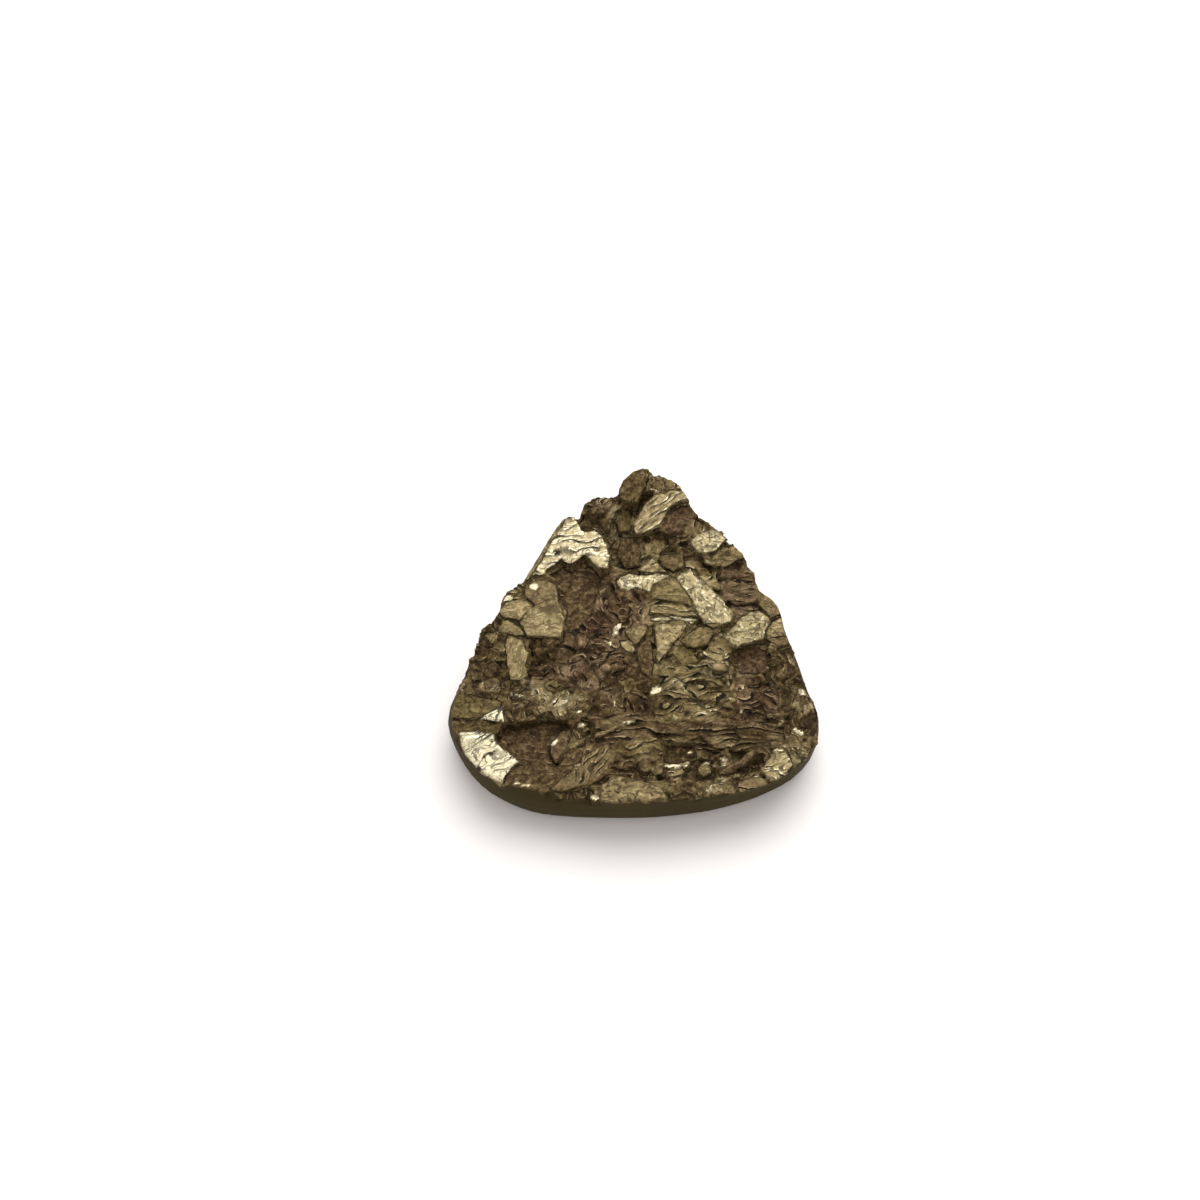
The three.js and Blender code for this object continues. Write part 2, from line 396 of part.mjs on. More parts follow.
function pyriteMesh() {
  const crystals = wasm.Manifold.union([...FACES.map(crystalSolid), ...grainSolids()]);
  const hollows = wasm.Manifold.union(HOLLOWS.map(hollowSolid));
  const cut = rockSolid().subtract(hollows).add(crystals).intersect(wallSolid());
  // The edge can cut off a chip that holds on to nothing, so the stone is the largest body that is left.
  const [stone] = cut.decompose().sort((a, b) => b.volume() - a.volume());
  const { vertProperties, triVerts } = stone.getMesh();
  const geometry = new THREE.BufferGeometry();
  geometry.setAttribute("position", new THREE.BufferAttribute(vertProperties, 3));
  geometry.setIndex(new THREE.BufferAttribute(triVerts, 1));
  geometry.computeBoundingBox();
  const { min, max } = geometry.boundingBox;
  geometry.translate(-(min.x + max.x) / 2, -(min.y + max.y) / 2, 0);
  geometry.computeVertexNormals();
  const material = new THREE.MeshStandardMaterial({
    color: 0x7d6f4e,
    metalness: 0.8,
    roughness: 0.45,
    flatShading: true,
  });
  const mesh = new THREE.Mesh(geometry, material);
  mesh.name = "pyrite";
  return mesh;
}

const group = new THREE.Group();
group.add(pyriteMesh());
export default group;
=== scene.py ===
import math

import bmesh
import bpy
import numpy as np
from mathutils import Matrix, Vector, noise


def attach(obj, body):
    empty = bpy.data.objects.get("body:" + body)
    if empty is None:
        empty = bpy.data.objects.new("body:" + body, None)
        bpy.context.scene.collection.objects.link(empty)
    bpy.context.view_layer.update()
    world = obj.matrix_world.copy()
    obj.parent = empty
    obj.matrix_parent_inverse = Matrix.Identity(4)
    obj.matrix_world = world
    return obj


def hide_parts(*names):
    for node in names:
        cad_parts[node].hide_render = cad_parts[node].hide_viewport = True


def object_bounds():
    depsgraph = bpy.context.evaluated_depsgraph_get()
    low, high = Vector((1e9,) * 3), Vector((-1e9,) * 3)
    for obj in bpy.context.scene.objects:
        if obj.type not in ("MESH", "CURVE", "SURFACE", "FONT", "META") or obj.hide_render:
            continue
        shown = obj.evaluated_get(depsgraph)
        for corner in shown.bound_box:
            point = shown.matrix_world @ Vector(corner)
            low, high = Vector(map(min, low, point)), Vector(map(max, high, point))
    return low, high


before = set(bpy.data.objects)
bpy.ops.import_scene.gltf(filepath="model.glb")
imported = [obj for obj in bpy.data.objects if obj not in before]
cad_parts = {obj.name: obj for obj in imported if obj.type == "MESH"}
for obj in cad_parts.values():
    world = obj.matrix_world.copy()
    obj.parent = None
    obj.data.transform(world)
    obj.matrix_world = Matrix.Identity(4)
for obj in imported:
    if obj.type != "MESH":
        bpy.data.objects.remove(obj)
cad_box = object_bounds()

# The camera: a hand-held close view from the front, looking down at the stone.
# It stands 322 mm from a point of the floor just behind the stone's middle.
MM = 0.001
VIEW_POINT = Vector((-2.66, 5.967, 0)) * MM
VIEW_ELEVATION = math.radians(64)
VIEW_DISTANCE = 322 * MM

camera_data = bpy.data.cameras.new("camera")
camera_data.sensor_width = 36
camera_data.lens = 117.6
camera_data.clip_start = 0.01
camera = bpy.data.objects.new("camera", camera_data)
towards_camera = Vector((0, -math.cos(VIEW_ELEVATION), math.sin(VIEW_ELEVATION)))
camera.location = VIEW_POINT + towards_camera * VIEW_DISTANCE
camera.rotation_euler = (math.pi / 2 - VIEW_ELEVATION, 0, 0)
bpy.context.scene.collection.objects.link(camera)
bpy.context.scene.camera = camera

# The stone: one piece of pyrite. Its wall is ground smooth and its top is left as it grew and broke,
# with clean brassy crystal faces, faces under a brown tarnish, and dark broken rock between them.
# It starts as a copy of the solid, remeshed finely enough to carry the marks on each face.
GRAIN = 0.134  # size of the mesh's squares, in millimetres
BASE_CUT = 0.3  # the part of the wall below this height is one plain band
BASE_INSET = 0.42  # how far that band goes in, down to the flat base

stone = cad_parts["pyrite"].copy()
stone.data = stone.data.copy()
stone.name = "pyrite_specimen"
stone.data.name = "pyrite_specimen"
bpy.context.scene.collection.objects.link(stone)

shape = bmesh.new()
shape.from_mesh(stone.data)
bmesh.ops.remove_doubles(shape, verts=shape.verts, dist=0.001 * MM)
bmesh.ops.scale(shape, vec=(1000, 1000, 1000), verts=shape.verts)
shape.to_mesh(stone.data)
shape.free()

remesh = stone.modifiers.new("fine_mesh", "REMESH")
remesh.mode = "VOXEL"
remesh.voxel_size = GRAIN
bpy.context.view_layer.update()
fine = bpy.data.meshes.new_from_object(stone.evaluated_get(bpy.context.evaluated_depsgraph_get()))
stone.modifiers.clear()
stone.data = fine

shape = bmesh.new()
shape.from_mesh(fine)
everything = list(shape.verts) + list(shape.edges) + list(shape.faces)
bmesh.ops.bisect_plane(
    shape, geom=everything, plane_co=(0, 0, BASE_CUT), plane_no=(0, 0, 1), clear_inner=True, dist=0.001
)
rim = [edge for edge in shape.edges if edge.is_boundary]
band = bmesh.ops.extrude_edge_only(shape, edges=rim)["geom"]
foot = [item for item in band if isinstance(item, bmesh.types.BMVert)]
for vert in foot:
    reach = vert.co.to_2d().length
    vert.co.x *= 1 - BASE_INSET / reach
    vert.co.y *= 1 - BASE_INSET / reach
    vert.co.z = 0
bmesh.ops.contextual_create(shape, geom=[item for item in band if isinstance(item, bmesh.types.BMEdge)])
bmesh.ops.recalc_face_normals(shape, faces=shape.faces)
shape.to_mesh(fine)
shape.free()

count = len(fine.vertices)
points = np.empty(count * 3)
fine.vertices.foreach_get("co", points)
points = points.reshape(-1, 3)
ways = np.empty(count * 3)
fine.vertices.foreach_get("normal", ways)
ways = ways.reshape(-1, 3)

# The faces and patches of the top, seen from above in millimetres. Each says how clean its metal is, how red
# its tarnish is, how it is marked and which way the marks lie, in degrees from the right.
PLAN_MIDDLE = (0.0, 0.273)
PATCHES = [
    # leathery, cracked rock on the middle right, and the redder rock beyond it
    (0.36, 0.15, "leather", 0, [(1.6, -0.6), (3.8, -0.8), (6, -0.9), (7.9, -1.0), (7.9, -4), (7.6, -6.8),
        (1.6, -7)]),
    (0.12, 0.8, "leather", 0, [(7.9, -3.0), (10.5, -3.0), (11.6, -4.5), (11.4, -7.0), (7.7, -7.2)]),
    (0.26, 0.8, "rock", 0, [(-5.6, 5.2), (-0.9, 5.2), (1.3, 3.8), (1.4, -2), (-2, -5.2), (-8, -3.6),
        (-6, 0)]),
    # olive rock under the pale faces of the middle and of the left flank
    (0.4, 0.15, "leather", 0, [(0.8, 5.6), (2.8, 6.4), (5.4, 6.6), (8.6, 2.6), (8.4, -0.9), (4.0, -1.2),
        (1.9, -2.6), (1.2, 0.9)]),
    (0.26, 0.2, "leather", 0, [(-11.4, 2.4), (-9.4, 5.0), (-6.2, 5.0), (-5.4, 2.0), (-5.8, -0.4),
        (-8.2, -0.6), (-8.2, -3.8), (-10.2, -3.8), (-10.8, 0.4)]),
    (0.26, 0.3, "leather", 0, [(7.6, -0.9), (11.0, -0.6), (13.2, 0.2), (12.6, 2.6), (10.0, 2.4), (8.4, 2.0),
        (6.9, 1.0)]),
    # long low shelves along the lower middle
    (0.19, 0.45, "shelf", 2, [(-3.5, -6.6), (1.6, -6.9), (11.5, -7.0), (11.6, -9.2), (8, -10.4),
        (2.2, -10.6), (-3, -9)]),
    # the sparkling band across the left, and the sparkling right corner
    (0.32, 0.35, "sparkle", 0, [(-13.2, -3.0), (-10, -3.9), (-8, -3.9), (-5, -4.4), (-2.5, -4.8),
        (-3, -6.8), (-8, -6.6), (-10.4, -5.6), (-13.8, -4.9)]),
    (0.6, 0.3, "sparkle", 0, [(11.8, -7.2), (14.6, -7.4), (14.4, -9.4), (12.6, -11.2), (11.6, -9.4)]),
    (0.14, 0.4, "sparkle", 85, [(12.0, -3.0), (15.0, -3.0), (15.0, -8.6), (13.9, -8.4), (11.9, -7.4)]),
    (0.26, 0.1, "sparkle", -50, [(-15.0, -7.9), (-13.6, -7.9), (-12.9, -9.9), (-11.4, -11.6),
        (-10.2, -12.4), (-10.6, -13.6), (-15.0, -12.0)]),
    (0.26, 0.45, "sparkle", 0, [(2.2, -10.4), (9.4, -9.8), (9.9, -11.3), (5, -12.4), (0, -11.6),
        (0.2, -10.6)]),
    (0.16, 0.25, "sparkle", 0, [(-12.6, 1.2), (-10.6, 1.9), (-10.3, -0.2), (-10.1, -3.8), (-13.5, -3.9)]),
    # back left
    (0.1, 0.6, "plain", 0, [(-6.8, 5.3), (-5.7, 6.2), (-5.0, 5.9), (-4.0, 6.9), (-3.0, 5.7), (-2.3, 5.3),
        (-2.9, 3.8), (-3.3, 2.2), (-4.2, 1.2), (-5.3, 1.0), (-5.3, 2.4), (-5.8, 4.4)]),
    (0.86, 0.15, "worm", 8, [(-9.2, 4.6), (-8.1, 6.1), (-7.5, 7.2), (-6.9, 8.4), (-6.2, 9.6), (-5.6, 10.6),
        (-4.6, 10.5), (-4.15, 9.1), (-3.7, 8.85), (-3.05, 9.0), (-2.5, 8.35), (-2.1, 7.4), (-1.85, 6.5),
        (-2.0, 5.5), (-2.7, 5.4), (-3.35, 6.15), (-3.95, 6.9), (-4.4, 6.5), (-4.9, 5.95), (-5.4, 6.15),
        (-5.7, 6.6), (-6.3, 6.1), (-6.9, 5.8), (-7.1, 5.4), (-7.9, 5.3)]),
    (0.45, 0.0, "pit", 55, [(-9.4, 4.6), (-8.1, 6.3), (-6.9, 8.7), (-6.0, 10.4), (-5.3, 10.6), (-5.6, 9.9),
        (-6.4, 8.6), (-7.2, 7.0), (-7.9, 5.7), (-8.7, 4.7)]),
    # left flank
    (0.55, 0.2, "plain", 0, [(-10.9, 2.2), (-10.2, 3.1), (-8.7, 3.4), (-8.1, 2.6), (-8.6, 1.9), (-9.2, 1.3),
        (-10.3, 1.7)]),
    (0.33, 0.5, "plain", 0, [(-8.7, 3.4), (-8.8, 4.4), (-7.9, 4.6), (-6.9, 4.7), (-6.2, 4.3), (-6.0, 3.0),
        (-5.6, 1.9), (-7.0, 1.85), (-7.9, 2.65)]),
    (0.55, 0.2, "plain", 0, [(-8.4, 2.1), (-7.9, 2.65), (-7.0, 1.9), (-5.6, 1.9), (-5.45, 1.4), (-5.6, 0.6),
        (-5.7, -0.2), (-8.5, 0.0), (-9.2, 1.2)]),
    (0.45, 0.15, "plain", 0, [(-10.5, 1.7), (-9.3, 1.1), (-8.7, 0.2), (-9.4, 0.1), (-10.6, 0.5)]),
    (0.5, 0.2, "plain", 80, [(-10.1, 0.2), (-8.9, -0.1), (-8.6, -1.0), (-8.3, -1.4), (-8.6, -2.4),
        (-8.4, -3.4), (-9.0, -3.7), (-9.9, -3.7), (-10.1, -2.2), (-10.3, -0.6)]),
    # left corner
    (0.2, 0.05, "plain", 0, [(-15.0, -5.4), (-13.9, -4.8), (-12.9, -4.9), (-11.7, -5.0), (-10.5, -5.5),
        (-10.4, -6.1), (-11.0, -6.1), (-12.0, -6.7), (-15.0, -6.7)]),
    (1.0, 0.15, "worm", 60, [(-12.2, -6.85), (-11.0, -6.0), (-10.35, -5.9), (-10.25, -7.4), (-10.9, -7.3)]),
    (0.12, 0.2, "plain", 0, [(-15.0, -7.0), (-12.2, -6.9), (-10.9, -7.2), (-10.4, -7.2), (-10.5, -8.2),
        (-15.0, -8.2)]),
    (1.0, 0.1, "worm", 35, [(-13.9, -7.9), (-12.2, -7.9), (-11.1, -8.2), (-10.9, -8.9), (-10.0, -9.7),
        (-9.15, -10.6), (-9.9, -11.5), (-10.3, -12.3), (-10.9, -12.4), (-11.7, -12.0), (-12.6, -11.0),
        (-13.3, -9.9), (-13.7, -8.9)]),
    (0.1, 0.6, "plain", 0, [(-10.3, -7.3), (-8.2, -7.1), (-6.8, -6.8), (-5.2, -7.0), (-4.9, -8.0),
        (-5.2, -9.3), (-6.0, -10.7), (-8.5, -10.65), (-9.1, -10.4), (-10.8, -8.8), (-10.8, -8.2)]),
    (0.2, 0.7, "plain", 0, [(-6.7, -8.8), (-5.8, -7.6), (-4.9, -7.5), (-4.6, -8.6), (-5.2, -9.6),
        (-6.2, -10.4), (-6.6, -9.6)]),
    (0.36, 0.3, "plain", 0, [(-5.6, -9.6), (-5.2, -9.15), (-4.3, -8.65), (-3.8, -8.5), (-4.0, -9.0),
        (-4.9, -9.55)]),
    (0.4, 0.3, "plain", 0, [(-3.2, -8.55), (-3.0, -8.15), (-1.9, -7.8), (-1.3, -7.45), (-1.5, -8.0),
        (-2.6, -8.5)]),
    (0.2, 0.3, "plain", 0, [(-10.3, -6.3), (-9.9, -6.2), (-9.2, -7.3), (-9.5, -7.5)]),
    # front
    (0.12, 0.5, "plain", 10, [(-9.1, -10.75), (-6.0, -10.9), (-5.2, -9.6), (-3.8, -9.2), (-4.2, -10.4),
        (-5.4, -11.8), (-7.0, -13.1), (-10.6, -13.0), (-10.3, -12.1), (-9.9, -11.5)]),
    (0.28, 0.35, "combed", 58, [(-3.7, -9.2), (-1.9, -9.0), (-1.4, -9.9), (-1.9, -11.2), (-3.3, -12.3),
        (-5.6, -13.0), (-6.6, -12.9), (-5.3, -11.7), (-4.1, -10.4)]),
    (0.2, 0.2, "leather", 0, [(-1.3, -8.6), (1.0, -8.3), (2.2, -8.9), (2.3, -10.2), (0.4, -10.9),
        (-1.4, -11.0)]),
    (0.42, 0.3, "pit", 0, [(-2.6, -12.4), (-2.0, -11.9), (-0.9, -11.7), (0.2, -12.1), (1.2, -12.4),
        (2.2, -12.8), (3.0, -14.4), (-2.5, -14.4)]),
    (0.4, 0.4, "sparkle", 0, [(3.2, -12.1), (5.1, -12.2), (7.9, -12.1), (8.0, -13.6), (3.4, -14.2),
        (2.7, -13.1)]),
    (0.3, 0.45, "worm", 0, [(8.2, -12.1), (9.9, -11.5), (10.5, -12.1), (10.8, -13.0), (8.3, -13.6)]),
    # right corner
    (0.64, 0.0, "worm", 20, [(10.0, -11.1), (10.8, -10.2), (11.1, -9.3), (11.8, -9.3), (12.4, -10.2),
        (12.6, -10.8), (11.7, -12.0), (10.8, -12.2)]),
    # the dark pit of the lower right, with small grains and a blade in front of it
    (0.0, 0.3, "plain", 0, [(2.4, -8.9), (4.8, -8.9), (5.0, -10.3), (3.4, -10.5), (2.5, -10.4)]),
    (0.12, 0.4, "plain", 0, [(0.4, -11.0), (0.7, -10.65), (1.1, -10.6), (1.45, -10.9), (1.35, -11.3),
        (0.9, -11.5), (0.5, -11.35)]),
    (0.26, 0.4, "plain", 0, [(1.55, -11.0), (1.9, -10.8), (2.35, -11.1), (2.25, -11.6), (1.8, -11.8),
        (1.5, -11.5)]),
    (0.42, 0.4, "plain", 0, [(4.95, -11.2), (5.25, -10.8), (5.8, -10.75), (6.15, -11.1), (6.05, -11.6),
        (5.5, -11.85), (5.1, -11.6)]),
    (0.18, 0.6, "plain", 0, [(6.6, -11.3), (7.1, -11.1), (8.4, -10.4), (9.5, -9.7), (9.8, -9.9),
        (9.0, -10.7), (7.8, -11.4), (6.8, -11.6)]),
    # middle
    (0.84, 0.2, "pit", 0, [(-1.4, 4.7), (-1.0, 5.1), (-0.3, 5.45), (0.3, 5.2), (1.7, 5.2), (3.1, 5.05),
        (2.3, 4.6), (1.6, 4.2), (1.3, 3.7), (0.8, 3.9), (0.3, 4.2), (-0.4, 4.0), (-1.0, 4.1)]),
    (0.5, 0.2, "pit", 0, [(0.3, 5.5), (1.2, 6.15), (2.1, 6.2), (2.8, 5.3), (1.4, 5.3)]),
    (0.36, 0.15, "plain", 10, [(1.5, 3.2), (1.6, 4.1), (2.1, 4.5), (2.8, 4.9), (3.5, 4.9), (4.1, 3.9),
        (4.8, 2.4), (3.6, 2.8), (2.4, 3.0)]),
    (0.46, 0.2, "comb", -6, [(1.3, 2.0), (1.4, 2.7), (2.4, 2.9), (3.6, 2.7), (4.8, 2.3), (5.2, 1.6),
        (3.6, 1.7), (2.4, 1.9)]),
    (0.9, 0.2, "comb", -4, [(1.4, 1.5), (1.4, 1.8), (2.4, 1.8), (5.3, 1.5), (4.7, 1.0), (4.0, 1.4),
        (2.6, 1.45)]),
    (0.6, 0.2, "pit", 0, [(1.6, 1.0), (3.0, 1.15), (4.4, 0.9), (4.0, 0.2), (3.3, -0.6), (2.7, -1.5),
        (2.0, -2.25), (1.8, -2.1), (1.85, -0.8)]),
    (0.76, 0.15, "pit", -50, [(3.4, 5.1), (4.6, 5.95), (5.0, 5.2), (5.9, 4.3), (6.7, 3.5), (7.3, 2.8),
        (8.0, 2.05), (8.1, 1.4), (7.8, 1.0), (6.9, 0.7), (6.4, 0.5), (5.8, 0.8), (5.2, 1.8), (4.6, 3.2),
        (4.1, 4.1)]),
    (0.3, 0.1, "plain", 0, [(3.8, -0.4), (4.5, 0.3), (5.3, 0.9), (6.9, 0.95), (7.1, 0.4), (6.3, 0.0),
        (6.0, -0.7), (5.0, -1.0), (4.2, -0.9)]),
    (0.4, 0.15, "plain", 0, [(-0.7, 0.5), (0.0, 0.95), (1.2, 0.9), (1.0, 0.1), (0.1, -0.75), (-0.3, -0.2)]),
    (0.6, 0.15, "plain", 0, [(-1.1, -0.2), (-0.4, -0.1), (0.2, -0.95), (0.0, -1.4), (-0.6, -1.1),
        (-1.0, -0.8)]),
    (0.1, 0.5, "plain", 80, [(0.3, -1.0), (1.0, -0.1), (1.45, -0.3), (1.7, -2.0), (1.4, -3.4), (0.6, -2.9),
        (0.3, -1.9)]),
    # right flank
    (0.7, 0.05, "pit", 0, [(7.1, 0.25), (8.1, 1.0), (8.6, 1.6), (9.3, 2.0), (10.1, 2.1), (10.8, 1.6),
        (11.0, 1.0), (10.6, 0.4), (10.5, -0.3), (10.0, -0.45), (8.2, -0.9), (7.6, -0.4)]),
    (0.55, 0.1, "pit", 0, [(11.1, 1.2), (12.8, 2.2), (12.9, 0.2), (11.3, -0.1), (10.7, -0.3), (10.7, 0.4)]),
    (0.3, 0.1, "plain", 0, [(10.0, 4.2), (11.2, 4.2), (12.5, 2.4), (11.1, 1.4), (10.6, 2.0), (10.1, 2.8)]),
    (0.08, 0.9, "plain", 0, [(8.0, -1.0), (9.9, -0.6), (10.6, -0.9), (10.7, -2.3), (10.2, -2.9),
        (8.6, -2.9), (8.0, -2.2)]),
    (0.3, 0.9, "shelf", -12, [(7.3, 2.7), (8.6, 2.1), (10.0, 2.5), (10.0, 4.6), (9.2, 5.6), (7.6, 5.6),
        (6.6, 4.6)]),
    (0.24, 0.8, "comb", 5, [(7.1, 3.2), (8.3, 2.7), (9.9, 2.9), (10.0, 3.4), (8.6, 3.4), (7.3, 3.9)]),
    (0.26, 0.8, "comb", 5, [(7.3, 4.1), (8.7, 3.6), (10.1, 3.7), (10.2, 4.2), (8.8, 4.4), (7.6, 4.8)]),
    (0.14, 0.8, "comb", 0, [(6.9, 5.0), (8.2, 4.9), (9.8, 4.6), (9.7, 5.2), (8.4, 5.6), (7.2, 5.7)]),
    # back
    (0.62, 0.3, "rock", 0, [(-1.9, 9.9), (-1.2, 11.0), (-0.5, 10.8), (-0.2, 9.2), (0.3, 8.7), (2.3, 8.7),
        (2.6, 7.5), (1.3, 6.2), (0.1, 5.8), (-0.9, 5.7), (-1.5, 6.4), (-1.7, 7.6)]),
    (0.2, 0.1, "plain", 75, [(-1.2, 9.3), (-1.45, 10.5), (-0.9, 11.2), (-0.1, 10.9), (-0.2, 9.3)]),
    (0.12, 0.5, "plain", 80, [(-1.1, 9.1), (-0.1, 8.9), (0.6, 8.2), (0.5, 6.4), (-0.6, 6.2), (-1.3, 7.3)]),
    (0.36, 0.2, "pit", 60, [(0.8, 8.2), (1.8, 8.7), (2.5, 8.6), (2.7, 7.9), (2.0, 7.2), (0.9, 7.0)]),
    (0.1, 0.25, "plain", 70, [(-1.1, 12.2), (-0.5, 13.6), (0.2, 15.0), (1.2, 15.0), (1.4, 13.5),
        (0.9, 12.4), (0.4, 11.1), (-0.1, 10.9), (-0.9, 11.1)]),
    (0.5, 0.2, "sparkle", 30, [(1.5, 15.0), (2.9, 14.4), (4.8, 12.6), (3.2, 12.2), (1.9, 12.0), (0.9, 11.3),
        (0.5, 10.4), (0.6, 11.6), (1.2, 13.0)]),
    (0.62, 0.3, "comb", 38, [(0.0, 9.5), (0.4, 10.2), (0.9, 11.2), (1.7, 12.0), (3.0, 12.3), (4.6, 12.3),
        (4.8, 11.4), (3.7, 11.2), (3.1, 10.8), (2.6, 9.9), (2.0, 9.1), (1.2, 8.8), (0.1, 8.6)]),
    (0.1, 0.8, "plain", 0, [(2.7, 9.8), (3.2, 10.7), (3.8, 11.1), (4.9, 11.4), (5.4, 10.5), (4.4, 9.9),
        (4.0, 9.0), (2.9, 8.7), (2.2, 9.0)]),
    (0.77, 0.15, "pit", 0, [(4.6, 8.1), (5.1, 8.7), (6.2, 9.1), (7.0, 8.9), (7.5, 8.2), (7.2, 7.8),
        (6.9, 7.3), (6.6, 7.0), (5.8, 6.9), (5.2, 7.2), (4.9, 7.6)]),
    (0.32, 0.25, "pit", 0, [(5.4, 7.0), (6.5, 7.1), (7.3, 7.6), (9.0, 8.0), (9.0, 6.9), (7.7, 6.0),
        (6.4, 5.9), (5.8, 6.3)]),
    (0.26, 0.25, "plain", 0, [(2.0, 6.8), (3.3, 7.05), (4.1, 7.0), (4.1, 6.0), (3.2, 5.6), (2.5, 6.0)]),
    (0.15, 0.6, "leather", 0, [(-4.6, 11.6), (-3.6, 12.6), (-1.7, 12.6), (-1.5, 11.5), (-2.2, 10.6),
        (-4.2, 10.4)]),
]
# Single bright grains: where each lies, its length and width in millimetres, and its angle.
SPARKS = [
    (1.9, -4.4, 0.86, 0.58, 15), (8.6, -6.3, 0.3, 0.3, 0), (11.7, -7.2, 0.3, 0.3, 0),
    (13.5, -4.6, 0.7, 0.5, -30), (13.2, -8.0, 0.9, 0.45, -20), (3.3, -10.7, 1.35, 0.38, 3),
    (5.9, -10.5, 0.55, 0.28, 5), (7.2, -10.3, 0.5, 0.4, 0), (-3.0, -13.5, 0.7, 0.4, -15),
    (-9.9, 3.5, 0.7, 0.5, 20), (-7.9, 4.2, 0.65, 0.5, 0), (-1.2, 0.9, 0.8, 0.4, 50),
    (-1.4, 0.4, 0.5, 0.35, 20), (-1.9, -0.4, 0.6, 0.35, -30), (-4.0, -7.3, 0.55, 0.35, 20),
    (-5.3, -5.3, 0.45, 0.3, 0), (-4.2, -6.3, 0.45, 0.3, 30), (-1.5, -5.5, 0.15, 0.75, 0),
    (-0.3, -7.2, 1.0, 0.22, 5), (4.6, -9.4, 0.3, 0.2, 0), (-6.3, -8.6, 0.7, 0.3, 50),
    (-9.2, -12.2, 0.6, 0.2, 0), (-8.4, -12.4, 0.5, 0.2, 0),
]


def reach_inside(outline, x, y):
    """How far each point is inside an outline; below zero outside it."""
    inside = np.zeros(len(x), bool)
    nearest = np.full(len(x), 1e9)
    for (ax, ay), (bx, by) in zip(outline, outline[1:] + outline[:1]):
        crosses = (ay > y) != (by > y)
        where = np.where(crosses, (bx - ax) * (y - ay) / ((by - ay) or 1) + ax, -1e9)
        inside ^= crosses & (x < where)
        along = ((x - ax) * (bx - ax) + (y - ay) * (by - ay)) / ((bx - ax) ** 2 + (by - ay) ** 2)
        along = np.clip(along, 0, 1)
        nearest = np.minimum(nearest, np.hypot(x - ax - along * (bx - ax), y - ay - along * (by - ay)))
    return np.where(inside, nearest, -nearest)


# Where each point of the mesh lies in the plan. A little wander keeps the borders of the crystal faces from
# being ruled, and a wide one breaks up the borders of the rock round them.
plan = points[:, :2] + PLAN_MIDDLE
wander = np.array([(noise.noise_vector(Vector(p) * 1.3) * 0.1 + noise.noise_vector(Vector(p) * 4) * 0.07)[:2]
                   for p in points])
wide_wander = np.array([(noise.noise_vector(Vector(p) * 0.45) + noise.noise_vector(Vector(p) * 1.4) * 0.4)[:2]
                        for p in points])
tarnish = np.array([noise.noise(Vector(p) * 1.7) for p in points])
metal = np.full(count, 0.16)
red = np.full(count, 0.4)
mark = np.full(count, "rock", dtype=object)
lie = np.zeros(count)
seam = np.full(count, 1.0)
border = np.full(count, 9.0)
FACE_MARKS = ("worm", "pit", "comb", "plain")
for clean, reddish, marks, angle, outline in PATCHES:
    x, y = (plan + (wander if marks in FACE_MARKS else wide_wander)).T
    reach = reach_inside(outline, x, y)
    inside = reach > 0
    if marks in FACE_MARKS:
        kept = np.clip(0.9 + reach / 0.3 + 1.1 * tarnish, max(0.45, 3 * clean - 2.1), 1)
        metal = np.where(inside, 0.16 + (clean - 0.16) * kept, metal)
    else:
        metal[inside] = clean
        border = np.minimum(border, np.abs(reach))
    red[inside] = reddish
    mark[inside] = marks
    lie[inside] = math.radians(angle)
    if marks in FACE_MARKS:
        seam = np.where(np.abs(reach) < np.abs(seam) - 0.01, reach, seam)
for x, y, length, width, angle in SPARKS:
    turn = math.radians(angle)
    across = (plan[:, 0] - x) * math.cos(turn) + (plan[:, 1] - y) * math.sin(turn) + wander[:, 0]
    along = (plan[:, 1] - y) * math.cos(turn) - (plan[:, 0] - x) * math.sin(turn) + wander[:, 1]
    close = np.abs(across / length) ** 1.5 + np.abs(along / width) ** 1.5 < 0.4 - 0.3 * across / length
    metal[close] = 1.0
    mark[close] = "plain"

# How each kind of surface is marked, in millimetres. Its scales overlap like shingles, each with a dark line
# under its front edge, a groove darkened with painted shadow of the step, and a painted highlight on the lip
# behind
# it: their pitch, their length against it, how much they swirl, how dark the lines and how bright the lips
# are, how deep, and how rough they are. The rock is also broken into plates: their size, their length against
# it, the steps between them, their tilt, how much the scales turn from plate to plate, and how dark the
# cracks are.
MARKS = {
    "worm": (0.75, 2.2, 1.3, 1.0, 0.03, 0.02, 0, 1, 0, 0, 0, 0),
    "pit": (0.6, 1.8, 1.0, 0.5, 0.03, 0.7, 0, 1, 0, 0, 0, 0),
    "comb": (0.5, 3.0, 0.7, 0.9, 0.08, 0.25, 0, 1, 0, 0, 0, 0),
    "plain": (0.85, 2.2, 1.3, 0.5, 0.05, 0.45, 0, 1, 0, 0, 0, 0),
    "combed": (0.62, 2.8, 1.1, 1.0, 0.16, 0.25, 0, 1, 0, 0, 0, 0),
    "leather": (0.8, 2.0, 1.5, 1.0, 0.24, 0.15, 1.5, 1.5, 0.22, 0.2, 0.6, 0.8),
    "shelf": (0.66, 2.8, 1.1, 1.0, 0.22, 0.25, 1.5, 2.4, 0.25, 0.2, 0.3, 0.8),
    "sparkle": (0.55, 1.6, 1.5, 1.0, 0.22, 0.5, 0.8, 1.3, 0.3, 0.4, 2.5, 0.9),
    "rock": (0.72, 1.9, 1.6, 1.0, 0.24, 0.3, 1.4, 1.3, 0.34, 0.4, 2.8, 1.0),
}


def dice(point, salt):
    """A number from 0 to 1 that belongs to a point."""
    return 0.5 + 0.5 * noise.cell(point * 7.31 + Vector((salt, salt * 1.7, salt * 0.3)))


